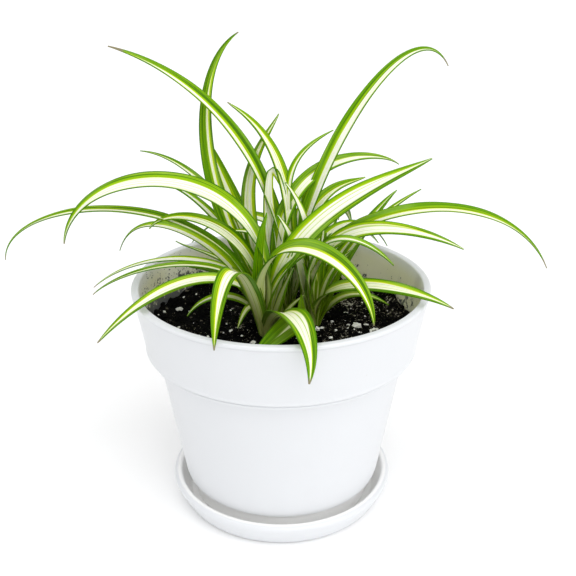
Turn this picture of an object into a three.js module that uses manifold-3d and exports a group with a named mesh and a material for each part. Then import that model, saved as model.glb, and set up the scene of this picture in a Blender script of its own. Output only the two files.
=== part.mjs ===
// Potted spider plant: a white plastic pot on its saucer, filled with potting mix,
// with five leafy shoots that stand in holes in the mix.
// Millimetres, +Z up. The origin is on the ground, on the pot's axis, and -Y is the front.

import * as THREE from "three";
import { mergeVertices } from "three/addons/utils/BufferGeometryUtils.js";
import Module from "manifold-3d";

const wasm = await Module();
wasm.setup();

// Driving sizes of the pot: a common 16 cm pot, measured over its rim

const ROUND_SIDES = 48;
const GAP = 0.3;
const RIM_RADIUS = 80;
const RIM_HEIGHT = 130;
const RIM_WALL = 4;
const COLLAR_LOW = 97;
const COLLAR_LOW_RADIUS = 74.4;
const WALL_TOP = 91;
const WALL_TOP_RADIUS = 67.5;
const WALL_FOOT = 18;
const WALL_FOOT_RADIUS = 55.3;
const WALL = 2.6;
const FOOT_RADIUS = 49.5;
const FOOT_RECESS_RADIUS = 44;
const FLOOR_UNDERSIDE = 6;
const FLOOR_TOP = 8.5;
const DRAIN_RADIUS = 4;
const DRAIN_CIRCLE = 28;
const DRAIN_HOLES = 4;

// Driving sizes of the saucer

const SAUCER_FLOOR = 3;
const SAUCER_BASE_RADIUS = 55;
const SAUCER_FLOOR_RADIUS = 53.2;
const SAUCER_RIM_RADIUS = 62.8;
const SAUCER_RIM_HEIGHT = 15;
const SAUCER_MOUTH_RADIUS = 57.6;

// Driving sizes of the potting mix and of the shoots' short stems

const MIX_LEVEL = 105;
const MIX_RELIEF = 1.6;
const MIX_RINGS = 8;
const STEM_FOOT = 92;
const LEAF_START = 101;

// Driving sizes of a leaf blade

const BLADE = 0.75;
const SEGMENT_LENGTH = 15;
const TIP_WIDTH = 0.9;

const DEGREE = Math.PI / 180;
const FRONT = new THREE.Vector3(0, -1, 0);

// Seeded random numbers, so that every run gives the same plant

function makeRandom(seed) {
  let state = seed;
  return () => {
    state = (state * 1664525 + 1013904223) % 4294967296;
    return state / 4294967296;
  };
}

// Closed solids that can be cut and joined

function toSolid(geometry) {
  const bare = geometry.clone();
  bare.deleteAttribute("normal");
  bare.deleteAttribute("uv");
  const merged = mergeVertices(bare, 1e-4);
  return new wasm.Manifold(
    new wasm.Mesh({
      numProp: 3,
      vertProperties: Float32Array.from(merged.attributes.position.array),
      triVerts: Uint32Array.from(merged.index.array),
    }),
  );
}

function toMesh(name, solid, material) {
  const { numProp, vertProperties, triVerts } = solid.getMesh();
  const geometry = new THREE.BufferGeometry();
  geometry.setAttribute("position", new THREE.BufferAttribute(vertProperties, numProp));
  geometry.setIndex(new THREE.BufferAttribute(triVerts, 1));
  geometry.computeVertexNormals();
  const mesh = new THREE.Mesh(geometry, material);
  mesh.name = name;
  return mesh;
}

// A lathe turns about Y, so its result is stood up along +Z

function turned(profile, sides = ROUND_SIDES) {
  const points = profile.map(([radius, height]) => new THREE.Vector2(radius, height));
  return new THREE.LatheGeometry(points, sides).rotateX(Math.PI / 2);
}

function uprightRound(radius, low, high, sides) {
  return turned([[0, low], [radius, low], [radius, high], [0, high]], sides);
}

function movedTo(solid, x, y) {
  return solid.translate([x, y, 0]);
}

// Saucer: a shallow dish with a thick rolled lip, flat underneath

function buildSaucer() {
  const lipMiddle = (SAUCER_RIM_RADIUS + SAUCER_MOUTH_RADIUS) / 2;
  const profile = [
    [0, 0],
    [SAUCER_BASE_RADIUS, 0],
    [SAUCER_BASE_RADIUS + 1.5, 1],
    [SAUCER_RIM_RADIUS - 1, SAUCER_RIM_HEIGHT - 5],
    [SAUCER_RIM_RADIUS, SAUCER_RIM_HEIGHT - 3],
    [SAUCER_RIM_RADIUS - 0.5, SAUCER_RIM_HEIGHT - 0.9],
    [lipMiddle, SAUCER_RIM_HEIGHT],
    [SAUCER_MOUTH_RADIUS + 0.4, SAUCER_RIM_HEIGHT - 0.9],
    [SAUCER_MOUTH_RADIUS, SAUCER_RIM_HEIGHT - 2.4],
    [SAUCER_FLOOR_RADIUS, SAUCER_FLOOR],
    [0, SAUCER_FLOOR],
  ];
  return toSolid(turned(profile));
}

// Pot: a tapered wall, a deep collar under the rim, a foot ring and drain holes

const INNER_MOUTH_RADIUS = RIM_RADIUS - RIM_WALL;
const INNER_STEP_RADIUS = COLLAR_LOW_RADIUS - RIM_WALL + 1;
const INNER_WALL_RADIUS = WALL_TOP_RADIUS - WALL;
const INNER_FOOT_RADIUS = WALL_FOOT_RADIUS - WALL;
const INNER_FLOOR_RADIUS = FOOT_RADIUS - 1;

function buildPot() {
  const profile = [
    [0, FLOOR_UNDERSIDE],
    [FOOT_RECESS_RADIUS, FLOOR_UNDERSIDE],
    [FOOT_RECESS_RADIUS + 1, SAUCER_FLOOR + GAP],
    [FOOT_RADIUS, SAUCER_FLOOR + GAP],
    [FOOT_RADIUS + 0.6, SAUCER_FLOOR + 2],
    [FOOT_RADIUS + 1, WALL_FOOT - 4],
    [WALL_FOOT_RADIUS - 1.4, WALL_FOOT - 2.4],
    [WALL_FOOT_RADIUS, WALL_FOOT],
    [WALL_TOP_RADIUS, WALL_TOP],
    [WALL_TOP_RADIUS + 1.2, WALL_TOP + 2.4],
    [COLLAR_LOW_RADIUS - 2.4, WALL_TOP + 3.4],
    [COLLAR_LOW_RADIUS - 0.7, WALL_TOP + 4.4],
    [COLLAR_LOW_RADIUS, COLLAR_LOW],
    [RIM_RADIUS - 0.9, RIM_HEIGHT - 4.4],
    [RIM_RADIUS, RIM_HEIGHT - 3.4],
    [RIM_RADIUS, RIM_HEIGHT - 0.9],
    [RIM_RADIUS - 0.9, RIM_HEIGHT],
    [INNER_MOUTH_RADIUS + 0.8, RIM_HEIGHT],
    [INNER_MOUTH_RADIUS, RIM_HEIGHT - 0.8],
    [INNER_STEP_RADIUS, COLLAR_LOW + 2],
    [INNER_WALL_RADIUS, WALL_TOP + 1],
    [INNER_FOOT_RADIUS, WALL_FOOT],
    [INNER_FLOOR_RADIUS, FLOOR_TOP],
    [0, FLOOR_TOP],
  ];
  let pot = toSolid(turned(profile));
  for (let i = 0; i < DRAIN_HOLES; i += 1) {
    const angle = (i + 0.5) * (360 / DRAIN_HOLES) * DEGREE;
    const drain = toSolid(uprightRound(DRAIN_RADIUS, FLOOR_UNDERSIDE - 1, FLOOR_TOP + 1, 16));
    pot = pot.subtract(movedTo(drain, DRAIN_CIRCLE * Math.cos(angle), DRAIN_CIRCLE * Math.sin(angle)));
  }
  return pot;
}

// Potting mix: it fills the pot, with a crumbly top and a plain hole for each shoot

function mixBump(x, y) {
  const coarse = Math.sin(x * 0.21 + 1.3) * Math.cos(y * 0.17 - 0.4);
  const fine = Math.sin(x * 0.83 - y * 0.57) * Math.cos(y * 0.91 + x * 0.39 + 2);
  return MIX_RELIEF * (0.55 * coarse + 0.45 * fine);
}

function buildMix(shoots) {
  const topRadius = INNER_STEP_RADIUS + 0.1;
  const profile = [
    [0, FLOOR_TOP + GAP],
    [INNER_FLOOR_RADIUS - GAP - 0.2, FLOOR_TOP + GAP],
    [INNER_FOOT_RADIUS - GAP - 0.2, WALL_FOOT],
    [INNER_WALL_RADIUS - GAP - 0.2, WALL_TOP + 1],
    [INNER_STEP_RADIUS - GAP - 0.3, COLLAR_LOW + 2],
    [topRadius, MIX_LEVEL - 1],
  ];
  for (let ring = 1; ring <= MIX_RINGS; ring += 1) {
    profile.push([topRadius * (1 - ring / MIX_RINGS), MIX_LEVEL]);
  }
  const geometry = turned(profile, 36);
  const place = geometry.attributes.position;
  for (let i = 0; i < place.count; i += 1) {
    if (place.getZ(i) > MIX_LEVEL - 0.5) {
      place.setZ(i, MIX_LEVEL + mixBump(place.getX(i), place.getY(i)));
    }
  }
  let mix = toSolid(geometry);
  for (const shoot of shoots) {
    const hole = toSolid(uprightRound(shoot.stem + GAP, STEM_FOOT - GAP, MIX_LEVEL + 9, 12));
    mix = mix.subtract(movedTo(hole, shoot.x, shoot.y));
  }
  return mix;
}

// A leaf arches in its own upright plane, which leaves the shoot at a heading in degrees
// from +X. Each pair is a reach from the shoot's middle and a height above the ground:
// where the rise aims, where the arch aims, and the tip. The width is the widest part,
// the lean turns the upper face to the front, and the bow swings the middle sideways.

class LeafArch extends THREE.Curve {
  constructor(shoot, leaf) {
    super();
    const along = new THREE.Vector3(Math.cos(leaf.heading * DEGREE), Math.sin(leaf.heading * DEGREE), 0);
    const start = Math.min(2.4, shoot.stem * 0.4);
    this.side = new THREE.Vector3(along.y, -along.x, 0);
    const bow = leaf.bow ?? 0;
    const place = ([reach, height], swing) =>
      new THREE.Vector3(shoot.x, shoot.y, height)
        .addScaledVector(along, reach)
        .addScaledVector(this.side, swing);
    this.arch = new THREE.CubicBezierCurve3(
      place([start, LEAF_START], 0),
      place(leaf.rise, bow),
      place(leaf.arch, bow),
      place(leaf.tip, 0),
    );
  }

  getPoint(t, target = new THREE.Vector3()) {
    return this.arch.getPoint(t, target);
  }
}

function smoothRise(t) {
  const s = Math.min(Math.max(t, 0), 1);
  return s * s * (3 - 2 * s);
}

function leafWidth(width, t) {
  const base = 0.62 + 0.38 * smoothRise(t / 0.38);
  const taper = 1 - 0.92 * Math.max(0, (t - 0.45) / 0.55) ** 2;
  return Math.max(TIP_WIDTH, width * base * taper);
}

function leafLean(leaf, side, t) {
  const turn = side.dot(FRONT) >= 0 ? 1 : -1;
  return turn * leaf.lean * DEGREE * smoothRise(t / 0.45);
}

// The blade is a shallow V in section, six points round, split alike on both faces

function leafSolid(shoot, leaf) {
  const curve = new LeafArch(shoot, leaf);
  const count = Math.max(6, Math.round(curve.getLength() / SEGMENT_LENGTH) + 1);
  const vertices = [];
  for (let i = 0; i <= count; i += 1) {
    const t = i / count;
    const middle = curve.getPointAt(t);
    const forward = curve.getTangentAt(t);
    const up = new THREE.Vector3().crossVectors(curve.side, forward).normalize();
    const side = new THREE.Vector3().crossVectors(forward, up);
    const lean = leafLean(leaf, curve.side, t);
    const across = side.clone().multiplyScalar(Math.cos(lean)).addScaledVector(up, -Math.sin(lean));
    up.multiplyScalar(Math.cos(lean)).addScaledVector(side, Math.sin(lean));
    const half = leafWidth(leaf.width, t) / 2;
    const fold = (30 - 16 * smoothRise(t / 0.8)) * DEGREE;
    const outward = half * Math.cos(fold);
    const lift = half * Math.sin(fold);
    const section = [
      [-outward, lift],
      [0, 0],
      [outward, lift],
      [outward, lift - BLADE],
      [0, -BLADE],
      [-outward, lift - BLADE],
    ];
    for (const [sideways, upward] of section) {
      vertices.push(middle.clone().addScaledVector(across, sideways).addScaledVector(up, upward));
    }
  }
  return toSolid(skinned(vertices, count));
}

function skinned(vertices, count) {
  const triangles = [];
  for (let i = 0; i < count; i += 1) {
    const near = i * 6;
    const far = near + 6;
    triangles.push(near + 1, far, near, near + 1, far + 1, far);
    triangles.push(near + 2, far + 2, near + 1, near + 1, far + 2, far + 1);
    triangles.push(near + 3, far + 2, near + 2, near + 3, far + 3, far + 2);
    triangles.push(near + 4, far + 3, near + 3, near + 4, far + 4, far + 3);
    triangles.push(near + 5, far + 5, near + 4, near + 4, far + 5, far + 4);
    triangles.push(near, far + 5, near + 5, near, far, far + 5);
  }
  const last = count * 6;
  triangles.push(0, 5, 1, 1, 5, 4, 1, 4, 2, 2, 4, 3);
  triangles.push(last, last + 1, last + 5, last + 1, last + 4, last + 5);
  triangles.push(last + 1, last + 2, last + 4, last + 2, last + 3, last + 4);
  const geometry = new THREE.BufferGeometry().setFromPoints(vertices);
  geometry.setIndex(triangles);
  return geometry;
}

// The five shoots, where each stands and how thick its short stem is

const SHOOTS = {
  left: { x: -9, y: -12, stem: 5.6 },
  front: { x: 11, y: -27, stem: 4.4 },
  middle: { x: 3, y: 8, stem: 6.4 },
  right: { x: 18, y: -2, stem: 5.6 },
  back: { x: 20, y: 20, stem: 5 },
};

const LEAVES = {
  left: [
    { heading: 188, rise: [-23, 206], arch: [92, 211], tip: [100, 161], width: 11.4, lean: 34 },
    { heading: 181, rise: [-1, 193], arch: [130, 187], tip: [133, 148], width: 6.4, lean: 15 },
    { heading: 160, rise: [-1, 149], arch: [70, 181], tip: [85, 141], width: 6.5, lean: 20 },
    { heading: 183, rise: [-9, 168], arch: [47, 181], tip: [58, 165], width: 9, lean: 30 },
    { heading: 205, rise: [9, 169], arch: [0, 168], tip: [-2, 172], width: 8, lean: 75, bow: -5 },
    { heading: 320, rise: [-14, 180], arch: [70, 176], tip: [70, 130], width: 11.6, lean: 22, bow: 7 },
    { heading: 356, rise: [-1, 130], arch: [10, 148], tip: [29, 154], width: 5.6, lean: 30, bow: 3 },
    { heading: 6, rise: [0, 170], arch: [62, 186], tip: [86, 198], width: 12.6, lean: 40 },
    { heading: 251, rise: [35, 179], arch: [62, 163], tip: [68, 127], width: 10.6, lean: 8, bow: 0.5 },
    { heading: 205, rise: [-2, 144], arch: [46, 159], tip: [90, 118], width: 8, lean: 22 },
    { heading: 168, rise: [-11, 153], arch: [62, 154], tip: [96, 123], width: 5, lean: 10 },
    { heading: 178, rise: [-5, 161], arch: [70, 146], tip: [91, 126], width: 5, lean: 10 },
    { heading: 150, rise: [-4, 149], arch: [44, 142], tip: [56, 147], width: 3, lean: 10 },
    { heading: 163, rise: [4, 138], arch: [28, 138], tip: [42, 138], width: 5.4, lean: 10 },
    { heading: 190, rise: [-1, 127], arch: [28, 137], tip: [41, 118], width: 6, lean: 15 },
    { heading: 215, rise: [4, 126], arch: [10, 128], tip: [17, 112], width: 5, lean: 10 },
    { heading: 285, rise: [21, 143], arch: [84, 145], tip: [83, 118], width: 13.8, lean: 0, bow: -4.2 },
  ],
  front: [
    { heading: 224, rise: [1, 127], arch: [-2, 121], tip: [35, 111], width: 12.4, lean: 22 },
    { heading: 95, rise: [1, 112], arch: [4, 122], tip: [8, 130], width: 6, lean: 30 },
  ],
  middle: [
    { heading: 184, rise: [-7, 175], arch: [30, 236], tip: [87, 253], width: 8.4, lean: 40 },
    { heading: 192, rise: [10, 138], arch: [16, 226], tip: [0, 173], width: 8.4, lean: 60 },
    { heading: 171, rise: [54, 173], arch: [50, 242], tip: [24, 258], width: 8.4, lean: 55 },
    { heading: 150, rise: [14, 132], arch: [56, 216], tip: [48, 194], width: 8.6, lean: 40 },
    { heading: 150, rise: [25, 161], arch: [60, 189], tip: [96, 187], width: 5, lean: 20 },
    { heading: 161, rise: [30, 157], arch: [61, 182], tip: [82, 174], width: 6, lean: 20 },
    { heading: 176, rise: [-15, 204], arch: [23, 218], tip: [30, 224], width: 8.4, lean: 45 },
    { heading: 190, rise: [7, 145], arch: [10, 160], tip: [33, 157], width: 5.6, lean: 30 },
    { heading: 164, rise: [38, 179], arch: [15, 198], tip: [4, 218], width: 8.4, lean: 55 },
    { heading: 20, rise: [6, 170], arch: [-14, 192], tip: [26, 208], width: 5, lean: 40 },
    { heading: 20, rise: [-4, 176], arch: [67, 279], tip: [92, 237], width: 7.8, lean: 38 },
    { heading: 36, rise: [-34, 207], arch: [62, 193], tip: [80, 179], width: 8.6, lean: 35 },
    { heading: 46, rise: [4, 160], arch: [14, 188], tip: [47, 187], width: 5.4, lean: 25 },
    { heading: 26, rise: [4, 183], arch: [33, 176], tip: [48, 179], width: 8.6, lean: 40 },
    { heading: 24, rise: [3, 130], arch: [4, 155], tip: [9, 174], width: 7, lean: 50 },
  ],
  right: [
    { heading: 5, rise: [-33, 168], arch: [96, 199], tip: [128, 133], width: 8, lean: 24 },
    { heading: 351, rise: [-15, 178], arch: [53, 165], tip: [77, 153], width: 9.6, lean: 34 },
    { heading: 334, rise: [-14, 156], arch: [20, 174], tip: [44, 147], width: 6.4, lean: 18, bow: 8 },
    { heading: 328, rise: [-10, 138], arch: [55, 141], tip: [79, 133], width: 9, lean: 26 },
    { heading: 10, rise: [6, 121], arch: [22, 128], tip: [42, 113], width: 6, lean: 15 },
    { heading: 38, rise: [1, 122], arch: [35, 158], tip: [59, 170], width: 7.4, lean: 30 },
    { heading: 28, rise: [6, 137], arch: [31, 160], tip: [67, 172], width: 4.6, lean: 20 },
    { heading: 184, rise: [-6, 174], arch: [22, 190], tip: [15, 185], width: 6, lean: 50 },
    { heading: 192, rise: [6, 143], arch: [13, 159], tip: [20, 169], width: 8, lean: 50 },
    { heading: 48, rise: [2, 128], arch: [14, 156], tip: [40, 147], width: 5.6, lean: 10 },
    { heading: 20, rise: [3, 126], arch: [10, 150], tip: [34, 160], width: 6.6, lean: 20 },
    { heading: 350, rise: [2, 122], arch: [6, 138], tip: [20, 150], width: 6, lean: 30 },
  ],
  back: [
    { heading: 35, rise: [-24, 146], arch: [27, 171], tip: [52, 131], width: 6.4, lean: 15 },
    { heading: 48, rise: [-30, 139], arch: [16, 171], tip: [58, 128], width: 7, lean: 0 },
  ],
};

// The unseen back of the plant carries leaves of the same kind, set round by a rule

const BACK_LEAVES = 8;
const BACK_FROM = 68;
const BACK_TO = 150;

function addBackLeaves() {
  const random = makeRandom(29);
  for (let i = 0; i < BACK_LEAVES; i += 1) {
    const share = i / (BACK_LEAVES - 1);
    const reach = 58 + 34 * random();
    const top = 138 + 22 * random();
    LEAVES.back.push({
      heading: BACK_FROM + (BACK_TO - BACK_FROM) * share + 5 * (random() - 0.5),
      rise: [2, top],
      arch: [reach * 0.6, top + 10],
      tip: [reach, 126 + 10 * random()],
      width: 6.5 + 3 * random(),
      lean: 10 * random(),
    });
  }
}

// Fusing leaves can seal small hollows between them. The outer skin alone fills those.

function filled(solid) {
  const bodies = solid.decompose();
  return bodies.reduce((largest, body) => (body.volume() > largest.volume() ? body : largest));
}

// A shoot is its short stem with every leaf fused to it

function buildShoot(shoot, leaves) {
  const stem = turned(
    [
      [0, STEM_FOOT],
      [shoot.stem, STEM_FOOT],
      [shoot.stem, MIX_LEVEL],
      [shoot.stem * 0.86, MIX_LEVEL + 6],
      [shoot.stem * 0.4, MIX_LEVEL + 14],
      [0, MIX_LEVEL + 16],
    ],
    10,
  );
  let plant = movedTo(toSolid(stem), shoot.x, shoot.y);
  for (const leaf of leaves) {
    plant = plant.add(leafSolid(shoot, leaf));
  }
  return filled(plant);
}

// Materials

const whitePlastic = new THREE.MeshStandardMaterial({ color: 0xf1f3f5, roughness: 0.35, metalness: 0 });
const saucerPlastic = new THREE.MeshStandardMaterial({ color: 0xeef1f4, roughness: 0.32, metalness: 0 });
const pottingMix = new THREE.MeshStandardMaterial({ color: 0x2a211b, roughness: 0.95, metalness: 0 });
const leafGreen = new THREE.MeshStandardMaterial({ color: 0x7faa3a, roughness: 0.45, metalness: 0 });

// Assembly

addBackLeaves();
const plant = new THREE.Group();
plant.name = "potted_spider_plant";
plant.add(toMesh("saucer", buildSaucer(), saucerPlastic));
plant.add(toMesh("pot", buildPot(), whitePlastic));
plant.add(toMesh("potting_mix", buildMix(Object.values(SHOOTS)), pottingMix));
for (const [name, shoot] of Object.entries(SHOOTS)) {
  plant.add(toMesh(`shoot_${name}`, buildShoot(shoot, LEAVES[name]), leafGreen));
}

export default plant;
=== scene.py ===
import math
import random

import bpy
from mathutils import Matrix, Vector, noise


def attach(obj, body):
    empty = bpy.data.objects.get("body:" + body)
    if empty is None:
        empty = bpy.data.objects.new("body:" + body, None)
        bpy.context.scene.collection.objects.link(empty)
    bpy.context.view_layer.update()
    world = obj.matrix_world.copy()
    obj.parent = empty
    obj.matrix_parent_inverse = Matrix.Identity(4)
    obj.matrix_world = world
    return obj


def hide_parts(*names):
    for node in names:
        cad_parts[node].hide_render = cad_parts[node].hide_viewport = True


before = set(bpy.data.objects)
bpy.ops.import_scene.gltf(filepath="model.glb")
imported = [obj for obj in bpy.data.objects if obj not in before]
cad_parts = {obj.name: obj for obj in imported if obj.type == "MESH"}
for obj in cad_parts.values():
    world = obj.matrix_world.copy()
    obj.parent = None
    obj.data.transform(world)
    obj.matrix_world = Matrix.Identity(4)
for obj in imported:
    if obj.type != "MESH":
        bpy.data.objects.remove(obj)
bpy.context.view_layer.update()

# Saucer. A round dish of white moulded plastic with a thick rolled lip. It is turned up
# from its flat underside ring by ring, and the last ring is the floor that carries the pot.

MM = 0.001
ROUND_SIDES = 192
CORNER_STEPS = 4
CREASE_FROM = 42
JOINED_WITHIN = 1e-6

# radius, height and how far the corner there is cut back, all in millimetres

saucer_outline = [
    (54.6, 0, 0.6),
    (56.6, 1.0, 1.2),
    (61.7, 10.6, 2.2),
    (62.8, 13.2, 1.4),
    (61.4, 15.0, 1.2),
    (58.6, 15.0, 1.1),
    (57.5, 12.8, 1.6),
    (53.2, 3.0, 1.2),
    (40.0, 3.0, 0),
]


def softened(outline):
    """The outline with each corner replaced by a short curve, cut back by its third number."""
    points = []
    for i, (radius, height, cut) in enumerate(outline):
        here = Vector((radius, height))
        if cut == 0 or i in (0, len(outline) - 1):
            points.append(here)
            continue
        before = Vector(outline[i - 1][:2])
        after = Vector(outline[i + 1][:2])
        start = here + (before - here).normalized() * min(cut, (before - here).length * 0.5)
        end = here + (after - here).normalized() * min(cut, (after - here).length * 0.5)
        for step in range(CORNER_STEPS + 1):
            t = step / CORNER_STEPS
            points.append(start * (1 - t) ** 2 + here * 2 * t * (1 - t) + end * t * t)
    return points


def turned_up(name, outline, sides=ROUND_SIDES):
    """A solid of revolution: a disc, then one extruded and resized ring for each point."""
    points = softened(outline)
    bpy.ops.object.select_all(action="DESELECT")
    first = points[0]
    bpy.ops.mesh.primitive_circle_add(
        vertices=sides, radius=first.x * MM, fill_type="NGON", location=(0, 0, first.y * MM)
    )
    piece = bpy.context.object
    piece.name = name
    bpy.ops.object.transform_apply(location=True, rotation=False, scale=False)
    bpy.ops.object.mode_set(mode="EDIT")
    bpy.ops.mesh.select_all(action="SELECT")
    for last, point in zip(points, points[1:]):
        rise = (point.y - last.y) * MM
        grow = point.x / last.x
        bpy.ops.mesh.extrude_region_move(TRANSFORM_OT_translate={"value": (0, 0, rise)})
        bpy.ops.transform.resize(value=(grow, grow, 1), center_override=(0, 0, point.y * MM))
    bpy.ops.mesh.select_all(action="SELECT")
    bpy.ops.mesh.remove_doubles(threshold=JOINED_WITHIN)
    bpy.ops.mesh.normals_make_consistent(inside=False)
    bpy.ops.object.mode_set(mode="OBJECT")
    bpy.ops.object.shade_smooth_by_angle(angle=math.radians(CREASE_FROM))
    return piece


def rgb(code):
    """A linear colour from the hex code of the colour as seen."""
    seen = [int(code[i:i + 2], 16) / 255 for i in (0, 2, 4)]
    linear = [c / 12.92 if c <= 0.04045 else ((c + 0.055) / 1.055) ** 2.4 for c in seen]
    return (*linear, 1)


class Finish:
    """A material's node tree, with short calls for the few nodes that these finishes use."""

    def __init__(self, name, roughness):
        self.material = bpy.data.materials.new(name)
        self.material.use_nodes = True
        self.tree = self.material.node_tree
        self.shader = self.tree.nodes["Principled BSDF"]
        self.shader.inputs["Roughness"].default_value = roughness
        self.place = self.add("ShaderNodeTexCoord").outputs["Object"]

    def add(self, kind, **settings):
        node = self.tree.nodes.new(kind)
        for key, value in settings.items():
            setattr(node, key, value)
        return node

    def feed(self, socket, value):
        if hasattr(value, "is_output"):
            self.tree.links.new(value, socket)
        else:
            socket.default_value = value

    def noise(self, vector, scale, detail=4.0, rough=0.55):
        node = self.add("ShaderNodeTexNoise")
        self.feed(node.inputs["Vector"], vector)
        self.feed(node.inputs["Scale"], scale)
        self.feed(node.inputs["Detail"], detail)
        self.feed(node.inputs["Roughness"], rough)
        return node.outputs["Fac"]

    def math(self, operation, a, b=0.0, c=0.0):
        node = self.add("ShaderNodeMath", operation=operation)
        for socket, value in zip(node.inputs, (a, b, c)):
            self.feed(socket, value)
        return node.outputs[0]

    def plus(self, a, b):
        return self.math("ADD", a, b)

    def less(self, a, b):
        return self.math("SUBTRACT", a, b)

    def times(self, a, b):
        return self.math("MULTIPLY", a, b)

    def size_of(self, value):
        return self.math("ABSOLUTE", value)

    def scaled(self, value, factor, start):
        """The start plus the value times the factor."""
        return self.math("MULTIPLY_ADD", value, factor, start)

    def ramp(self, value, low, high):
        """0 up to low, 1 from high on, and a smooth step between them."""
        node = self.add("ShaderNodeMapRange", interpolation_type="SMOOTHSTEP")
        self.feed(node.inputs["Value"], value)
        self.feed(node.inputs["From Min"], low)
        self.feed(node.inputs["From Max"], high)
        return node.outputs[0]

    def mix(self, share, a, b):
        node = self.add("ShaderNodeMix", data_type="RGBA")
        self.feed(node.inputs["Factor"], share)
        self.feed(node.inputs["A"], a)
        self.feed(node.inputs["B"], b)
        return node.outputs["Result"]

    def split(self, vector):
        node = self.add("ShaderNodeSeparateXYZ")
        self.feed(node.inputs[0], vector)
        return node.outputs

    def join(self, x, y, z):
        node = self.add("ShaderNodeCombineXYZ")
        for socket, value in zip(node.inputs, (x, y, z)):
            self.feed(socket, value)
        return node.outputs[0]

    def mark(self, name):
        """The three numbers that a mesh carries at each vertex under this name."""
        return self.split(self.add("ShaderNodeAttribute", attribute_name=name).outputs["Vector"])

    def from_axis(self):
        """Distance from the pot's axis."""
        x, y, _ = self.split(self.place)
        return self.math("POWER", self.plus(self.times(x, x), self.times(y, y)), 0.5)

    def colour(self, value):
        self.feed(self.shader.inputs["Base Color"], value)

    def roughness(self, value):
        self.feed(self.shader.inputs["Roughness"], value)

    def bump(self, height, strength, distance):
        node = self.add("ShaderNodeBump")
        self.feed(node.inputs["Height"], height)
        node.inputs["Strength"].default_value = strength
        node.inputs["Distance"].default_value = distance
        self.feed(self.shader.inputs["Normal"], node.outputs["Normal"])

    def glow_under(self, weight, scale, radius=(1, 1, 1)):
        """Light that enters the surface and leaves it again close by."""
        self.shader.inputs["Subsurface Weight"].default_value = weight
        self.shader.inputs["Subsurface Radius"].default_value = radius
        self.shader.inputs["Subsurface Scale"].default_value = scale


# the first white is painted light, put on the saucer's inside and the pot's foot where they lie in
# shade
PAINTED_LIGHT_WHITE = "fdfdfc"
SPECK = "b9b6a8"
SAUCER_WHITE = "e2e4e7"
SAUCER_WORN = "d6d7d8"


def white_plastic(name, white, worn):
    """Smooth moulded plastic with a faint skin texture, thin smudges and a few fine specks."""
    finish = Finish(name, 0.34)
    cloud = finish.noise(finish.place, 14, 5, 0.6)
    smudge = finish.ramp(cloud, 0.52, 0.8)
    specks = finish.ramp(finish.noise(finish.place, 420, 2, 0.5), 0.78, 0.83)
    tone = finish.mix(finish.times(smudge, 0.3), rgb(white), rgb(worn))
    tone = finish.mix(finish.times(specks, 0.35), tone, rgb(SPECK))
    finish.colour(tone)
    finish.roughness(finish.scaled(cloud, 0.16, 0.27))
    finish.bump(finish.noise(finish.place, 900, 2, 0.5), 0.06, 0.0004)
    return finish, tone


def saucer_finish():
    """White plastic. The sloping inside, down in the shade round the pot's foot, is painted whiter
    as painted light.
    """
    finish, worn_white = white_plastic("saucer_plastic", SAUCER_WHITE, SAUCER_WORN)
    finish.glow_under(0.25, 0.002)
    height = finish.split(finish.place)[2]
    sloped = finish.scaled(height, -0.5, finish.from_axis())
    # painted light: the sloping inside is painted whiter, to lift the shade round the pot's foot
    painted_light_share = finish.ramp(sloped, 0.054, 0.0525)
    finish.colour(finish.mix(painted_light_share, worn_white, rgb(PAINTED_LIGHT_WHITE)))
    return finish.material


saucer = turned_up("saucer_dish", saucer_outline)
saucer.data.materials.append(saucer_finish())
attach(saucer, "root")
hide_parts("saucer")

# Pot. The same white plastic, with a tapered wall, a deep collar with a thin lip at its top
# and two fine beads at its foot, a foot ring and four drain holes drilled through the floor.

RIM_RADIUS = 80
RIM_HEIGHT = 130
INNER_MOUTH = 76
MIX_LEVEL = 105
MIX_RADIUS = 71.5
FLOOR_LOW = 6
FLOOR_TOP = 8.5
DRAIN_RADIUS = 4
DRAIN_CIRCLE = 28
DRAIN_HOLES = 4
DRILL_SIDES = 32

pot_outline = [
    (44.0, FLOOR_LOW, 0),
    (45.0, 3.3, 0.5),
    (49.8, 3.3, 0.8),
    (50.6, 13.4, 1.2),
    (53.9, 15.6, 1.4),
    (55.3, 18.2, 2.2),
    (67.6, 91.2, 0.6),
    (70.8, 91.9, 0.6),
    (72.3, 92.6, 0.6),
    (72.4, 93.9, 0.6),
    (71.9, 94.4, 0.3),
    (73.5, 95.0, 0.6),
    (74.3, 96.0, 0.6),
    (74.0, 97.6, 0.8),
    (79.2, 127.7, 0.3),
    (80.0, 128.2, 0.4),
    (RIM_RADIUS, RIM_HEIGHT, 1.0),
    (INNER_MOUTH, RIM_HEIGHT, 1.0),
    (71.4, 99.0, 1.0),
    (64.9, 92.0, 1.0),
    (52.7, 18.0, 2.0),
    (48.5, FLOOR_TOP, 1.0),
    (40.0, FLOOR_TOP, 0),
]


def drilled(piece, x, y, radius, low, high):
    """A round hole straight through, cut by a drill-shaped cylinder."""
    bpy.ops.object.select_all(action="DESELECT")
    middle = (x * MM, y * MM, (low + high) / 2 * MM)
    bpy.ops.mesh.primitive_cylinder_add(
        vertices=DRILL_SIDES, radius=radius * MM, depth=(high - low) * MM, location=middle
    )
    drill = bpy.context.object
    cut = piece.modifiers.new("drain", "BOOLEAN")
    cut.object = drill
    cut.operation = "DIFFERENCE"
    cut.solver = "EXACT"
    bpy.context.view_layer.objects.active = piece
    bpy.ops.object.modifier_apply(modifier=cut.name)
    bpy.data.objects.remove(drill)


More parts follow.
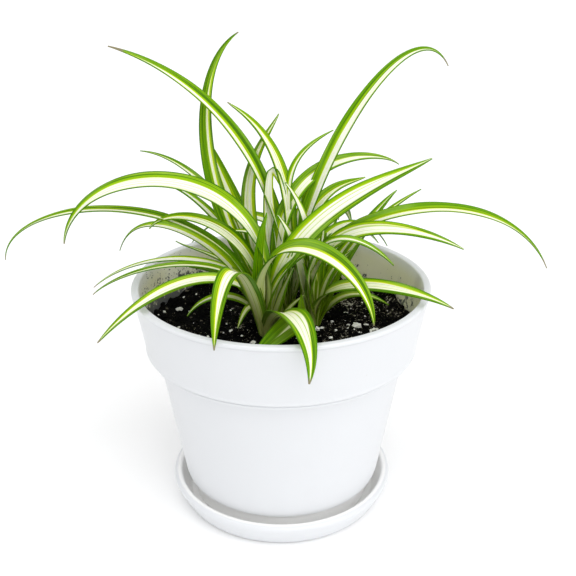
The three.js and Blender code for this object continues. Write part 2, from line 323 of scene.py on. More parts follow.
pot = turned_up("pot_shell", pot_outline)
for i in range(DRAIN_HOLES):
    angle = math.radians((i + 0.5) * 360 / DRAIN_HOLES)
    x, y = DRAIN_CIRCLE * math.cos(angle), DRAIN_CIRCLE * math.sin(angle)
    drilled(pot, x, y, DRAIN_RADIUS, FLOOR_LOW - 1, FLOOR_TOP + 1)


# heights of the fine grey lines of painted shade, of the foot painted whiter, and of the inside
# painted a warm pale tint and splashed with mix, and the inner wall's radius at the mix and how
# fast it grows with height

COLLAR_LINE = 94.3
LIP_LINE = 127.6
FOOT_TOP = 17.5
INSIDE_PAINT_FROM = 97.5
INNER_AT_MIX = 72.5
INNER_GROWTH = 0.152

POT_WHITE = "e0e2e5"
POT_WORN = "d4d5d6"
# a grey for the painted shade in the fine grooves
PAINTED_SHADE_GREY = "b4b8bc"
# three warm pale whites, painted light on the inside of the mouth, whiter towards the rim
PAINTED_LIGHT_WARM = "fcf8d8"
PAINTED_LIGHT_PALE = "fffeea"
PAINTED_LIGHT_TOP = "fbfbf4"
SMEAR = "b4b098"
WET_MIX = "1b1a14"


def pot_finish():
    """White plastic. The inside of the mouth is painted a warm pale tint as painted light, to lift
    its greenish grey shade, and is smeared and splashed with wet mix.
    """
    finish, plain = white_plastic("pot_plastic", POT_WHITE, POT_WORN)
    finish.glow_under(0.25, 0.003)
    x, y, z = finish.split(finish.place)
    # painted shade: a thin grey line in the groove under the collar's bead, and another under the
    # lip
    for height in (COLLAR_LINE, LIP_LINE):
        groove_shade = finish.ramp(finish.size_of(finish.less(z, height * MM)), 0.0006, 0.0002)
        plain = finish.mix(finish.times(groove_shade, 0.2), plain, rgb(PAINTED_SHADE_GREY))
    # painted light: the foot, down in the shade above the saucer's lip, is painted whiter
    foot = finish.ramp(z, FOOT_TOP * MM, (FOOT_TOP - 3) * MM)
    plain = finish.mix(foot, plain, rgb(PAINTED_LIGHT_WHITE))

    above = finish.less(z, MIX_LEVEL * MM)
    wall = finish.scaled(above, INNER_GROWTH, INNER_AT_MIX * MM)
    inside = finish.ramp(finish.less(wall, finish.from_axis()), -0.0002, 0.0004)
    inside = finish.times(inside, finish.ramp(z, INSIDE_PAINT_FROM * MM, (INSIDE_PAINT_FROM + 1.5) * MM))
    # painted light: the inside of the mouth is painted a warm pale tint, whiter near the rim, to
    # lift its shade; the smears and splashes of wet mix on it are real dirt
    warmth = finish.ramp(finish.noise(finish.place, 26, 3, 0.5), 0.35, 0.7)
    tint = finish.mix(warmth, rgb(PAINTED_LIGHT_WARM), rgb(PAINTED_LIGHT_PALE))
    painted_light_and_dirt = finish.mix(finish.ramp(above, 0.016, 0.025), tint, rgb(PAINTED_LIGHT_TOP))
    smear = finish.noise(finish.join(x, y, finish.times(z, 0.25)), 90, 3, 0.5)
    painted_light_and_dirt = finish.mix(finish.times(finish.ramp(smear, 0.54, 0.68), 0.25), painted_light_and_dirt, rgb(SMEAR))
    # wet mix is splashed mostly on the left end of the wall, and a little on the right end
    ends = finish.math("MAXIMUM", finish.scaled(x, -1.7, -0.04), finish.scaled(x, 0.4, -0.05))
    blots = finish.plus(finish.noise(finish.place, 230, 5, 0.7), ends)
    blots = finish.ramp(finish.scaled(above, -15, blots), 0.44, 0.46)
    specks = finish.plus(finish.noise(finish.place, 640, 3, 0.6), ends)
    specks = finish.ramp(finish.scaled(above, -6, specks), 0.6, 0.62)
    painted_light_and_dirt = finish.mix(finish.math("MAXIMUM", blots, specks), painted_light_and_dirt, rgb(WET_MIX))
    finish.colour(finish.mix(inside, plain, painted_light_and_dirt))
    return finish.material


pot.data.materials.append(pot_finish())
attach(pot, "root")
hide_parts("pot")

# Potting mix. Moist peat and bark crumbs, nearly black, in low clods with loose crumbs and
# pale mineral grains on top. The surface is shaped by noise, and the crumbs are set on it.

# where each shoot's stem stands in the mix, and the stem's radius

SHOOTS = {
    "left": (-9, -12, 5.6),
    "front": (11, -27, 4.4),
    "middle": (3, 8, 6.4),
    "right": (18, -2, 5.6),
    "back": (20, 20, 5.0),
}

mix_outline = [
    (48.0, 8.8, 0.6),
    (52.2, 18.0, 0.6),
    (64.4, 92.0, 0.6),
    (70.8, 99.0, 0.6),
    (MIX_RADIUS, MIX_LEVEL - 0.8, 0),
]
MIX_SIDES = 200
MIX_RINGS = 64
# the top is closed ring by ring, which gives a fine mesh to shape
for ring in range(MIX_RINGS):
    mix_outline.append((MIX_RADIUS * (1 - ring / MIX_RINGS) - 0.4, MIX_LEVEL, 0))


def smooth(t):
    t = min(max(t, 0), 1)
    return t * t * (3 - 2 * t)


def mix_height(x, y):
    """Height of the mix in millimetres: broad swells, clods, crumbs and a ragged edge."""
    swell = noise.noise(Vector((x * 0.035, y * 0.035, 3.1))) * 2.2
    lumps = noise.fractal(Vector((x * 0.16, y * 0.16, 7.7)), 1.0, 2.1, 3) * 1.8
    crumbs = noise.voronoi(Vector((x * 0.42, y * 0.42, 1.9)))[0][0] * -2.2
    grit = noise.noise(Vector((x * 1.6, y * 1.6, 0.4))) * 0.8
    edge = smooth((math.hypot(x, y) - MIX_RADIUS + 9) / 9)
    bank = edge * max(0, noise.noise(Vector((x * 0.11, y * 0.11, 5.3))) + 0.25) * 6
    return MIX_LEVEL + 1.2 + swell + lumps + crumbs + grit + bank


mix_body = turned_up("mix_body", mix_outline, MIX_SIDES)
for vertex in mix_body.data.vertices:
    if vertex.co.z > (MIX_LEVEL - 0.4) * MM:
        x, y = vertex.co.x / MM, vertex.co.y / MM
        vertex.co.z = mix_height(x, y) * MM

WET_BLACK = "000000"
PEAT = "040302"
FIBRE = "57523f"
FLECK = "c4c0b2"


def mix_finish():
    """Black wet peat with fine flecks of drier fibre."""
    finish = Finish("potting_mix", 0.9)
    x, y, z = finish.split(finish.place)
    grain = finish.noise(finish.join(x, finish.times(y, 1.5), z), 520, 5, 0.72)
    patch = finish.noise(finish.place, 60, 3, 0.6)
    tone = finish.mix(finish.ramp(patch, 0.4, 0.66), rgb(WET_BLACK), rgb(PEAT))
    # painted light: the flecks of fibre are real, and the right side, where the lamps fall, is
    # painted with more of them and so paler
    lit = finish.scaled(patch, 0.4, finish.scaled(x, 0.6, grain))
    tone = finish.mix(finish.ramp(lit, 0.8, 0.82), tone, rgb(FIBRE))
    tone = finish.mix(finish.ramp(lit, 0.84, 0.86), tone, rgb(FLECK))
    finish.colour(tone)
    finish.bump(grain, 1.0, 0.0016)
    finish.shader.inputs["Specular IOR Level"].default_value = 0.1
    return finish.material


mix_material = mix_finish()
mix_body.data.materials.append(mix_material)
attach(mix_body, "root")
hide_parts("potting_mix")


def grain_kit(name, grains, material, sink, seed, facets):
    """Loose ragged grains of the given places and sizes, turned at random, set on the mix."""
    draw = random.Random(seed)
    bpy.ops.object.select_all(action="DESELECT")
    bpy.ops.mesh.primitive_ico_sphere_add(subdivisions=facets, radius=1)
    lump = bpy.context.object
    shape = [v.co.copy() for v in lump.data.vertices]
    faces = [tuple(p.vertices) for p in lump.data.polygons]
    bpy.data.objects.remove(lump)
    points = []
    polygons = []
    for n, (x, y, size) in enumerate(grains):
        squash = Vector((draw.uniform(0.7, 1.35), draw.uniform(0.5, 1.0), draw.uniform(0.45, 0.8)))
        spin = Matrix.Rotation(draw.uniform(0, math.tau), 3, "Z")
        offset = Vector((draw.random() * 50, draw.random() * 50, n))
        seat = Vector((x, y, mix_height(x, y) + size * sink))
        first = len(points)
        for corner in shape:
            ragged = 0.95 + 0.6 * noise.noise(corner * 1.9 + offset) + draw.uniform(-0.22, 0.22)
            points.append((seat + spin @ (corner * squash) * ragged * size / 2) * MM)
        polygons += [tuple(first + corner for corner in face) for face in faces]
    mesh = bpy.data.meshes.new(name)
    mesh.from_pydata(points, [], polygons)
    piece = bpy.data.objects.new(name, mesh)
    bpy.context.collection.objects.link(piece)
    piece.data.materials.append(material)
    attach(piece, "root")
    return piece


def scattered(count, smallest, largest, seed):
    """Places all over the mix, clear of the stems, with many small grains and a few large."""
    draw = random.Random(seed)
    grains = []
    while len(grains) < count:
        reach = (MIX_RADIUS - 1.5) * math.sqrt(draw.random())
        turn = draw.uniform(0, math.tau)
        x, y = reach * math.cos(turn), reach * math.sin(turn)
        if all(math.hypot(x - sx, y - sy) > stem + 1 for sx, sy, stem in SHOOTS.values()):
            grains.append((x, y, smallest + (largest - smallest) * draw.random() ** 2.6))
    return grains


def grain_finish(name, pale, dirty, share):
    """Rough pale stuff with a darker crust over part of it."""
    finish = Finish(name, 0.85)
    fine = finish.noise(finish.place, 900, 3, 0.6)
    finish.colour(finish.mix(finish.ramp(fine, share, share + 0.1), rgb(pale), rgb(dirty)))
    finish.bump(fine, 0.7, 0.0006)
    return finish.material


# the pale grains that the photograph shows, by place and size in millimetres

SEEN_GRAINS = [
    (41, -7, 4.6), (49.3, -10.8, 4.0), (51.5, -9.6, 2.4), (36.3, 12.4, 2.6), (46.3, -2, 2.8),
    (48.2, -1.2, 1.8), (19.6, -10.6, 3.2), (22, -6.9, 2.2), (-15, -23, 4.2), (-27, -12.6, 2.4),
    (-21, -15.1, 1.8), (-57.8, 18.7, 3.2), (28, 3.3, 1.8), (46.4, 24.7, 1.6), (33.3, -25.1, 1.5),
]

BARK_PALE = "5d574a"
BARK_DARK = "1d1a14"
MINERAL_PALE = "fbfbf4"
MINERAL_DIRTY = "a9a698"

crumbs = scattered(1300, smallest=0.9, largest=4.4, seed=5)
grain_kit("mix_crumbs", crumbs, mix_material, sink=0.1, seed=5, facets=1)

bark = scattered(420, smallest=0.5, largest=2.4, seed=17)
bark_material = grain_finish("bark_crumb", BARK_PALE, BARK_DARK, share=0.5)
grain_kit("mix_bark", bark, bark_material, sink=0.14, seed=17, facets=1)

perlite = SEEN_GRAINS + scattered(130, smallest=0.4, largest=2.2, seed=11)
mineral_material = grain_finish("mineral_grain", MINERAL_PALE, MINERAL_DIRTY, share=0.6)
grain_kit("mix_perlite", perlite, mineral_material, sink=0.16, seed=11, facets=2)

# Leaves. Thin waxy blades, folded along the midrib, green at both edges and cream down the
# middle. Each is a fine grid laid along an arch, and the blades of a shoot are then joined and
# given their thickness together.

# lengths in millimetres, angles in degrees, and the rest are shares of a width or a length

LEAF_START = 101
BLADE_THICKNESS = 0.45
TIP_WIDTH = 0.25
FULLNESS = 1.04
FOOT_SHARE = 0.66
FOLD_AT_FOOT = 44
FOLD_AT_TIP = 14
WAVE_SHARE = 0.035
WAVE_PER_MM = 0.16
ROW_STEP = 2.6
FEWEST_ROWS = 12
COLUMNS = 12
ARCH_STEPS = 240
LEAF_CREASE_FROM = 50

# heading, rise, arch, tip, width, lean and bow as in the CAD, then how bright the green is, where
# the cream stripe lies across the blade (-1 lower edge, 1 upper edge), the stripe's half width
# as a share of the blade's half, and the length of the dry tip in millimetres

LEAVES = {
    "left": [
        (188, (-23, 206), (92, 211), (100, 161), 11.4, 34, 0, 0.3, -0.3, 0.5, 1),
        (181, (-1, 193), (130, 187), (133, 148), 6.4, 15, 0, 0.4, -0.3, 0.26, 2),
        (160, (-1, 149), (70, 181), (85, 141), 6.5, 20, 0, 0.8, -0.45, 0.38, 0),
        (183, (-9, 168), (47, 181), (58, 165), 9, 30, 0, 0.5, -0.28, 0.56, 0),
        (205, (9, 169), (0, 168), (-2, 172), 8, 75, -5, 0.3, 0.9, 0.1, 0),
        (320, (-14, 180), (70, 176), (70, 130), 11.6, 22, 7, 0.65, -0.38, 0.36, 1),
        (356, (-1, 130), (10, 148), (29, 154), 5.6, 30, 3, 0.5, -0.2, 0.4, 0),
        (6, (0, 170), (62, 186), (86, 198), 12.6, 40, 0, 0.3, 0.04, 0.44, 0),
        (251, (35, 179), (62, 163), (68, 127), 10.6, 8, 0.5, 0.5, -0.1, 0.42, 2),
        (205, (-2, 144), (46, 159), (90, 118), 8, 22, 0, 0.5, 0, 0.46, 2),
        (168, (-11, 153), (62, 154), (96, 123), 5, 10, 0, 0.2, 0, 0.52, 3),
        (178, (-5, 161), (70, 146), (91, 126), 5, 10, 0, 0.15, -0.3, 0.36, 2),
        (150, (-4, 149), (44, 142), (56, 147), 3, 10, 0, 0.4, 0, 0.4, 0),
        (163, (4, 138), (28, 138), (42, 138), 5.4, 10, 0, 0.3, 0, 0.06, 0),
        (190, (-1, 127), (28, 137), (41, 118), 6, 15, 0, 0.4, 0, 0.46, 0),
        (215, (4, 126), (10, 128), (17, 112), 5, 10, 0, 0.6, 0, 0.7, 0),
        (285, (21, 143), (84, 145), (83, 118), 13.8, 0, -4.2, -0.5, -0.05, 0.5, 2),
    ],
    "front": [
        (224, (1, 127), (-2, 121), (35, 111), 12.4, 22, 0, -0.6, -0.05, 0.16, 0),
        (95, (1, 112), (4, 122), (8, 130), 6, 30, 0, -0.4, 0.1, 0.1, 0),
    ],
    "middle": [
        (184, (-7, 175), (30, 236), (87, 253), 8.4, 40, 0, 0.45, -0.48, 0.24, 7),
        (192, (10, 138), (16, 226), (0, 173), 8.4, 60, 0, 1, 0, 0.8, 0),
        (171, (54, 173), (50, 242), (24, 258), 8.4, 55, 0, 0.5, 0.36, 0.13, 1),
        (150, (14, 132), (56, 216), (48, 194), 8.6, 40, 0, 0.65, -0.45, 0.36, 0),
        (150, (25, 161), (60, 189), (96, 187), 5, 20, 0, 0.45, -0.4, 0.34, 0),
        (161, (30, 157), (61, 182), (82, 174), 6, 20, 0, 0.5, -0.2, 0.3, 0),
        (176, (-15, 204), (23, 218), (30, 224), 8.4, 45, 0, 0.4, -0.18, 0.45, 1),
        (190, (7, 145), (10, 160), (33, 157), 5.6, 30, 0, 0.5, -0.2, 0.6, 0),
        (164, (38, 179), (15, 198), (4, 218), 8.4, 55, 0, 0.6, 0, 0.46, 0),
        (20, (6, 170), (-14, 192), (26, 208), 5, 40, 0, 0.5, -0.35, 0.3, 0),
        (20, (-4, 176), (67, 279), (92, 237), 7.8, 38, 0, 0.3, -0.42, 0.32, 5),
        (36, (-34, 207), (62, 193), (80, 179), 8.6, 35, 0, 0.5, -0.25, 0.34, 0),
        (46, (4, 160), (14, 188), (47, 187), 5.4, 25, 0, 0.45, -0.25, 0.28, 0),
        (26, (4, 183), (33, 176), (48, 179), 8.6, 40, 0, 0.55, -0.38, 0.38, 0),
        (24, (3, 130), (4, 155), (9, 174), 7, 50, 0, 0.5, 0, 0.5, 0),
    ],
    "right": [
        (5, (-33, 168), (96, 199), (128, 133), 8, 24, 0, 0.8, -0.5, 0.26, 6),
        (351, (-15, 178), (53, 165), (77, 153), 9.6, 34, 0, 0.3, 0, 0.54, 0),
        (334, (-14, 156), (20, 174), (44, 147), 6.4, 18, 8, 0.3, -0.1, 0.34, 0),
        (328, (-10, 138), (55, 141), (79, 133), 9, 26, 0, 0.3, 0.02, 0.46, 2),
        (10, (6, 121), (22, 128), (42, 113), 6, 15, 0, 0.4, 0, 0.36, 0),
        (38, (1, 122), (35, 158), (59, 170), 7.4, 30, 0, 0.35, 0, 0.3, 0),
        (28, (6, 137), (31, 160), (67, 172), 4.6, 20, 0, 0.65, -0.2, 0.34, 0),
        (184, (-6, 174), (22, 190), (15, 185), 6, 50, 0, 0.4, 0, 0.78, 0),
        (192, (6, 143), (13, 159), (20, 169), 8, 50, 0, 0.15, 0, 0.8, 0),
        (48, (2, 128), (14, 156), (40, 147), 5.6, 10, 0, 0.5, 0, 0.5, 0),
        (20, (3, 126), (10, 150), (34, 160), 6.6, 20, 0, 0.4, -0.2, 0.4, 0),
        (350, (2, 122), (6, 138), (20, 150), 6, 30, 0, 0.5, 0, 0.5, 0),
    ],
    "back": [
        (35, (-24, 146), (27, 171), (52, 131), 6.4, 15, 0, 0.6, -0.2, 0.4, 0),
        (48, (-30, 139), (16, 171), (58, 128), 7, 0, 0, 0.6, -0.2, 0.4, 0),
    ],
}


DRAW_RANGE = 2 ** 32


def seeded(seed):
    """The same simple random draw as in the CAD, so that the hidden leaves agree."""
    state = seed
    while True:
        state = (state * 1664525 + 1013904223) % DRAW_RANGE
        yield state / DRAW_RANGE


BACK_LEAVES = 8
BACK_FROM = 68
BACK_TO = 150

draw = seeded(29)
for i in range(BACK_LEAVES):
    reach = 58 + 34 * next(draw)
    top = 138 + 22 * next(draw)
    heading = BACK_FROM + (BACK_TO - BACK_FROM) * i / (BACK_LEAVES - 1) + 5 * (next(draw) - 0.5)
    arch = (reach * 0.6, top + 10)
    tip = (reach, 126 + 10 * next(draw))
    width = 6.5 + 3 * next(draw)
    lean = 10 * next(draw)
    tone = 0.3 + 0.05 * i
    LEAVES["back"].append((heading, (2, top), arch, tip, width, lean, 0, tone, -0.2, 0.42, 1))

# young leaves that stand close in the crown, with their tips behind the outer leaves; they are
# finer than the CAD leaves, which don't include them

CROWN_LEAVES = {
    "left": [
        (352, (1, 126), (8, 147), (27, 155), 4, 4, 0, 0.2, 0.1, 0.8, 0),
        (4, (6, 117), (10, 136), (15, 152), 9.6, 38, 0, 0.1, 0.05, 0.74, 0),
        (342, (6, 116), (11, 132), (16, 144), 8, 30, 0, 0.1, 0.2, 0.66, 0),
        (20, (4, 118), (9, 138), (14, 154), 9, 36, 0, 0.2, 0, 0.7, 0),
        (60, (3, 112), (6, 130), (9, 142), 6, 30, 0, 0.15, 0, 0.4, 0),
        (100, (3, 116), (6, 132), (10, 144), 6, 40, 0, 0.3, 0, 0.5, 0),
        (140, (3, 116), (9, 130), (16, 142), 6, 30, 0, 0.3, 0, 0.5, 0),
        (350, (7, 112), (13, 121), (21, 128), 3.6, 30, 0, 0.2, 0, 0.9, 0),
    ],
    "middle": [
        (125, (3, 126), (12, 156), (16, 180), 9.4, 0, 0, 1, 0, 0.76, 0),
        (165, (-7, 130), (-5, 148), (7, 167), 7, 65, 0, 0.2, 0, 0.85, 0),
        (212, (3, 122), (6, 142), (8, 158), 7, 60, 0, 0.3, 0.1, 0.5, 0),
        (340, (3, 120), (8, 140), (15, 160), 7, 60, 0, 0.25, 0, 0.7, 0),
        (70, (3, 122), (8, 146), (14, 170), 7, 40, 0, 0.3, 0, 0.5, 0),
        (120, (3, 122), (8, 144), (14, 164), 7, 40, 0, 0.3, 0, 0.5, 0),
        (20, (3, 122), (8, 148), (16, 174), 6.6, 50, 0, 0.2, 0, 0.4, 0),
    ],
    "right": [
        (184, (3, 116), (6, 134), (8, 146), 8, 62, 0, 0.2, 0, 0.85, 0),
        (100, (5, 116), (8, 136), (12, 152), 6, 60, 0, 0.2, 0, 0.8, 0),
        (40, (1, 118), (3, 138), (8, 156), 6.6, 72, 0, 1, 0, 0, 0),
        (30, (4, 116), (12, 136), (22, 152), 8, 50, 0, 0.6, 0.5, 0.1, 0),
        (70, (3, 118), (9, 140), (16, 158), 6, 40, 0, 0.3, 0, 0.6, 0),
        (230, (3, 116), (6, 132), (10, 144), 6.6, 50, 0, 0.2, 0, 0.8, 0),
    ],
    "back": [
        (40, (3, 118), (9, 136), (16, 150), 6, 40, 0, 0.3, 0, 0.5, 0),
        (120, (3, 118), (9, 136), (16, 150), 6, 40, 0, 0.3, 0, 0.5, 0),
        (205, (3, 118), (5, 134), (7, 146), 6, 50, 0, 0.3, 0, 0.6, 0),
    ],
}

for shoot, leaves in CROWN_LEAVES.items():
    LEAVES[shoot] += leaves


def arch_points(corners, count):
    """Evenly spaced places and directions along a cubic arch."""
    a, b, c, d = corners
    fine = []
    for i in range(ARCH_STEPS + 1):
        t = i / ARCH_STEPS
        rest = 1 - t
        fine.append(a * rest ** 3 + b * 3 * t * rest ** 2 + c * 3 * t * t * rest + d * t ** 3)
    lengths = [0]
    for one, two in zip(fine, fine[1:]):
        lengths.append(lengths[-1] + (two - one).length)
    places = []
    n = 0
    for i in range(count + 1):
        target = lengths[-1] * i / count
        while n < ARCH_STEPS - 1 and lengths[n + 1] < target:
            n += 1
        part = (target - lengths[n]) / max(lengths[n + 1] - lengths[n], 1e-9)
        places.append((fine[n].lerp(fine[n + 1], part), (fine[n + 1] - fine[n]).normalized()))
    return places, lengths[-1]


def leaf_width(width, t):
    """Width at a share t of the length: drawn in at the foot, then full, then tapering."""
    base = FOOT_SHARE + (1 - FOOT_SHARE) * smooth(t / 0.34)
    taper = 1 - 0.96 * max(0, (t - 0.45) / 0.55) ** 2
    return max(TIP_WIDTH, width * FULLNESS * base * taper)


def laid_leaf(shoot, leaf, number):
    """One blade: a grid, laid along the arch and folded along its midrib."""
    x, y, stem = SHOOTS[shoot]
    heading, rise, arch, tip, width, lean, bow, tone, centre, half_stripe, dry = leaf
    draw = random.Random(f"{shoot} {number}")
    angle = math.radians(heading)
    along = Vector((math.cos(angle), math.sin(angle), 0))
    side = Vector((along.y, -along.x, 0))
    start = min(2.4, stem * 0.4)
    corners = [Vector((x, y, h)) + along * r for r, h in ((start, LEAF_START), rise, arch, tip)]
    corners[1] += side * bow
    corners[2] += side * bow
    rough_length = sum((two - one).length for one, two in zip(corners, corners[1:]))
    rows = max(FEWEST_ROWS, round(rough_length / ROW_STEP))
    places, length = arch_points(corners, rows)
    bpy.ops.object.select_all(action="DESELECT")
    bpy.ops.mesh.primitive_grid_add(
        x_subdivisions=COLUMNS, y_subdivisions=rows, size=2, calc_uvs=True
    )
    blade = bpy.context.object
    # each blade leans its face to the front, whichever way it goes
    turn = 1 if side.y <= 0 else -1
    paint = blade.data.attributes.new("leaf_paint", "FLOAT_VECTOR", "POINT")
    reach = blade.data.attributes.new("leaf_reach", "FLOAT_VECTOR", "POINT")
    marks = blade.data.attributes.new("leaf_marks", "FLOAT_VECTOR", "POINT")
    number_mark = draw.random()
    # large leaves with a broad stripe have more green lines in it
    streaks = draw.uniform(0.6, 1) if half_stripe > 0.41 and width > 8 else draw.uniform(0, 0.5)
    ripple = draw.uniform(0, 6)
    for vertex in blade.data.vertices:
        u = vertex.co.x
        t = (vertex.co.y + 1) / 2
        middle, forward = places[round(t * rows)]
        up = side.cross(forward).normalized()
        flat = forward.cross(up)
        roll = turn * math.radians(lean) * smooth(t / 0.45)
        across = flat * math.cos(roll) - up * math.sin(roll)
        lift = up * math.cos(roll) + flat * math.sin(roll)
        half = leaf_width(width, t) / 2
        fold = math.radians(FOLD_AT_FOOT - (FOLD_AT_FOOT - FOLD_AT_TIP) * smooth(t / 0.5))
        wave = WAVE_SHARE * half * math.sin(t * length * WAVE_PER_MM + ripple + 2 * u) * u * u
        aside = u * half * math.cos(fold)
        above = abs(u) ** 1.25 * half * math.sin(fold) + wave
        place = middle + across * aside + lift * above
        paint.data[vertex.index].vector = (-turn * u, centre, half_stripe)
        reach.data[vertex.index].vector = (t * length / 100, (1 - t) * length / 100, dry / 100)
        marks.data[vertex.index].vector = (tone, number_mark, streaks)
        vertex.co = place * MM
    return blade


DRY_TIP = "8c8468"

# besides the leaf's own greens, yellow and creams, each set holds a painted sheen of gloss, a
# cream in painted shade and the olive painted shade of the foot
LEAF_COLOURS = {
    "leaf_upper": {
        "deep": "3c6c00",
        "dark": "609600",
        "green": "84b400",
        "light": "b2ce08",
        "yellow": "eaf234",
        "painted_sheen": "96be4c",
        "cream": "fffff8",
        "shaded": "eef3cc",
        "foot_shade_pale": "b4c066",
        "foot_shade_dark": "5c7400",
    },
    "leaf_under": {
        "deep": "3e6a10",
        "dark": "5c941c",
        "green": "7eaa2c",
        "light": "a2c244",
        "yellow": "d4de58",
        "painted_sheen": "94b868",
        "cream": "eaf0c4",
        "shaded": "d8e0a4",
        "foot_shade_pale": "a8b458",
        "foot_shade_dark": "56700c",
    },
}


def leaf_finish(name):
    """Green margins that lighten to a yellow line, then a cream stripe with fine streaks in it."""
    finish = Finish(name, 0.5)
    finish.shader.inputs["Specular IOR Level"].default_value = 0.1
    colours = {part: rgb(code) for part, code in LEAF_COLOURS[name].items()}
    across, centre, half = finish.mark("leaf_paint")
    tone, number, streaks = finish.mark("leaf_marks")
    from_foot, to_tip, dry = finish.mark("leaf_reach")
    shift = finish.times(number, 37)

    def lines(per_width, per_length, detail):
        """Noise drawn out along the blade, around zero."""
        along = finish.times(from_foot, per_length)
        spot = finish.join(finish.times(across, per_width), along, shift)
        return finish.less(finish.noise(spot, 1, detail, 0.55), 0.5)

    drift = lines(0.9, 2.4, 2)
    band = lines(3.6, 0.5, 1)
    streak = lines(8, 1.1, 2)
    thread = lines(22, 1.8, 3)

    # how far a point lies outside the stripe, as a share of the half blade, and on which side
    aside = finish.less(across, centre)
    out = finish.less(finish.size_of(aside), finish.plus(half, 0.04))
    out = finish.scaled(drift, 0.2, out)
    out = finish.scaled(streak, 0.05, out)
    # the stripe closes towards the tip, which is all green
    out = finish.scaled(finish.ramp(to_tip, 0.42, 0.02), 0.34, out)
    edge_shade = finish.ramp(finish.size_of(across), 0.86, 0.97)
    upper = finish.ramp(aside, -0.05, 0.05)

    # the cream stripe, and the long green lines in it, more of them on some leaves
    rib = finish.mix(finish.ramp(thread, -0.04, 0.12), colours["cream"], colours["shaded"])
    # painted shade: towards the foot the cream takes its shaded colour
    low_down = finish.times(finish.ramp(from_foot, 0.8, 0.3), 0.8)
    rib = finish.mix(low_down, rib, colours["shaded"])
    share = finish.math("DIVIDE", aside, finish.math("MAXIMUM", half, 0.05))
    wander = finish.plus(finish.scaled(band, 0.9, share), 0.25)
    inner = finish.ramp(finish.math("PINGPONG", wander, 0.46), 0.1, 0.03)
    rib = finish.mix(finish.times(finish.ramp(streak, 0.06, 0.16), 0.3), rib, colours["yellow"])
    rib = finish.mix(finish.times(inner, streaks), rib, colours["light"])

    # the upper margin lightens broadly towards the stripe, and the lower one hardly does
    lean = finish.math("DIVIDE", out, finish.scaled(upper, 0.26, 0.1))
    lean = finish.scaled(streak, 0.8, lean)
    lean = finish.scaled(tone, -0.9, lean)
    margin = finish.mix(finish.ramp(lean, -0.1, 0.5), colours["light"], colours["green"])
    margin = finish.mix(finish.ramp(lean, 0.45, 1.1), margin, colours["dark"])
    pale_lines = finish.ramp(finish.plus(streak, thread), 0.04, 0.2)
    margin = finish.mix(finish.times(pale_lines, 0.65), margin, colours["light"])
    deep_lines = finish.ramp(finish.plus(streak, band), -0.02, -0.18)
    margin = finish.mix(finish.times(deep_lines, 0.85), margin, colours["deep"])
    # painted sheen: grey-green patches of gloss along the blade
    painted_sheen = finish.times(finish.ramp(drift, 0.02, 0.16), 0.4)
    margin = finish.mix(painted_sheen, margin, colours["painted_sheen"])
    # painted shade: the very edge of the blade is darkened to deep green
    margin = finish.mix(finish.times(edge_shade, 0.65), margin, colours["deep"])

    # on some leaves the yellow line hardly shows and the cream meets the green sharply
    shows = finish.ramp(finish.plus(drift, number), 0.1, 0.5)
    line = finish.times(shows, finish.scaled(upper, 0.6, 0.4))
    edge = finish.mix(line, rib, colours["yellow"])
    blade = finish.mix(finish.ramp(out, -0.07, -0.01), rib, edge)
    blade = finish.mix(finish.ramp(out, 0.0, 0.07), blade, margin)

    # painted shade: the foot is painted the olive of the crown's shade, pale with dark edges; and
    # a few tips are dry
    foot_edge = finish.ramp(finish.plus(streak, out), -0.1, 0.2)
    foot = finish.mix(foot_edge, colours["foot_shade_pale"], colours["foot_shade_dark"])
    blade = finish.mix(finish.times(finish.ramp(from_foot, 0.48, 0.12), 0.85), blade, foot)
    dry_share = finish.ramp(finish.less(to_tip, dry), 0.02, -0.01)
    dry_share = finish.times(dry_share, finish.ramp(dry, 0.0, 0.006))
    finish.colour(finish.mix(dry_share, blade, rgb(DRY_TIP)))
    finish.roughness(finish.scaled(thread, 0.3, 0.45))
    finish.bump(finish.plus(streak, thread), 0.3, 0.0004)
    finish.glow_under(0.1, 0.0012, (0.7, 1.0, 0.25))
    return finish.material


leaf_top = leaf_finish("leaf_upper")
leaf_back = leaf_finish("leaf_under")


def joined_shoot(shoot):
    """All the blades of one shoot, joined, thickened and finished as one piece."""
    blades = [laid_leaf(shoot, leaf, i) for i, leaf in enumerate(LEAVES[shoot])]
    bpy.ops.object.select_all(action="DESELECT")
    for blade in blades:
        blade.select_set(True)
    bpy.context.view_layer.objects.active = blades[0]
    bpy.ops.object.join()
    piece = bpy.context.object
    piece.name = f"leaves_{shoot}"
    piece.data.materials.append(leaf_top)
    piece.data.materials.append(leaf_back)
    skin = piece.modifiers.new("blade", "SOLIDIFY")
    skin.thickness = BLADE_THICKNESS * MM
    skin.offset = -1
    skin.material_offset = 1
    skin.material_offset_rim = 0
    skin.use_even_offset = False
    bpy.ops.object.modifier_apply(modifier=skin.name)
    bpy.ops.object.shade_smooth_by_angle(angle=math.radians(LEAF_CREASE_FROM))
    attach(piece, "root")
    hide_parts(f"shoot_{shoot}")


for shoot in SHOOTS:
    joined_shoot(shoot)

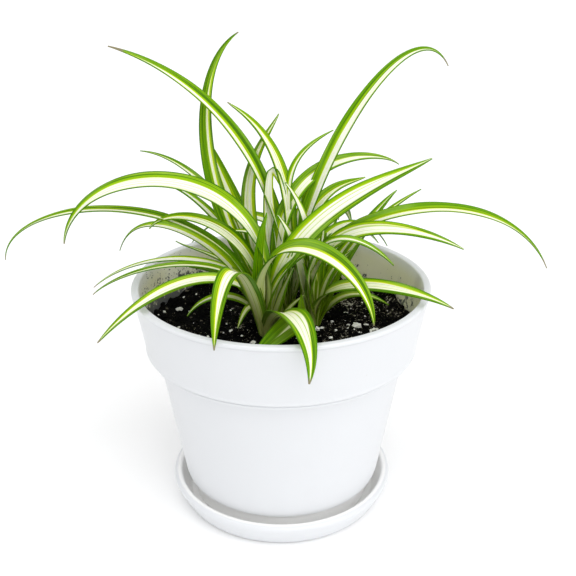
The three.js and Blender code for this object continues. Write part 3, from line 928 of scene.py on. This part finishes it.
# Floor and light. A wide plain white floor under soft lamps, brighter from the right, so that
# the plant stands on white with a faint shadow to the left, as in a plain studio.

FLOOR_SIZE = 16
WORLD_LIGHT = 0.6

bpy.ops.object.select_all(action="DESELECT")
bpy.ops.mesh.primitive_plane_add(size=FLOOR_SIZE, location=(0, 0, 0))
floor = bpy.context.object
floor.name = "studio_floor"
floor_finish = Finish("studio_white", 0.9)
floor_finish.colour(rgb("ffffff"))
floor.data.materials.append(floor_finish.material)


def soft_lamp(name, from_side, softness, strength):
    """A wide distant lamp that shines from the given direction, with no falloff."""
    lamp = bpy.data.lights.new(name, "SUN")
    lamp.energy = strength
    lamp.angle = math.radians(softness)
    stand = bpy.data.objects.new(name, lamp)
    bpy.context.collection.objects.link(stand)
    stand.rotation_euler = Vector(from_side).to_track_quat("Z", "Y").to_euler()


soft_lamp("key_lamp", (0.88, -0.68, 0.85), softness=70, strength=1.06)
soft_lamp("front_lamp", (0.1, -0.85, 0.85), softness=50, strength=0.56)
soft_lamp("top_lamp", (-0.28, -0.12, 1.0), softness=60, strength=0.75)

world = bpy.data.worlds.new("studio")
world.use_nodes = True
background = world.node_tree.nodes["Background"]
background.inputs["Color"].default_value = (1, 1, 1, 1)
background.inputs["Strength"].default_value = WORLD_LIGHT
bpy.context.scene.world = world
bpy.context.scene.view_settings.view_transform = "Standard"

# Camera. Its place and lens were worked out from the ellipses of the rim, the collar, the foot
# and the saucer. Places are in metres, angles in degrees, the sensor and lens in millimetres.

CAMERA_BACK = 0.4466
CAMERA_HEIGHT = 0.3175
CAMERA_DOWN = 23.26
CAMERA_RIGHT = 0.47
SENSOR = 36
LENS = 56.25
NEAREST = 0.01

view = bpy.data.cameras.new("camera")
view.sensor_width = SENSOR
view.lens = LENS
view.clip_start = NEAREST
camera = bpy.data.objects.new("camera", view)
bpy.context.collection.objects.link(camera)
camera.location = (0, -CAMERA_BACK, CAMERA_HEIGHT)
camera.rotation_euler = (math.radians(90 - CAMERA_DOWN), 0, -math.radians(CAMERA_RIGHT))
bpy.context.scene.camera = camera
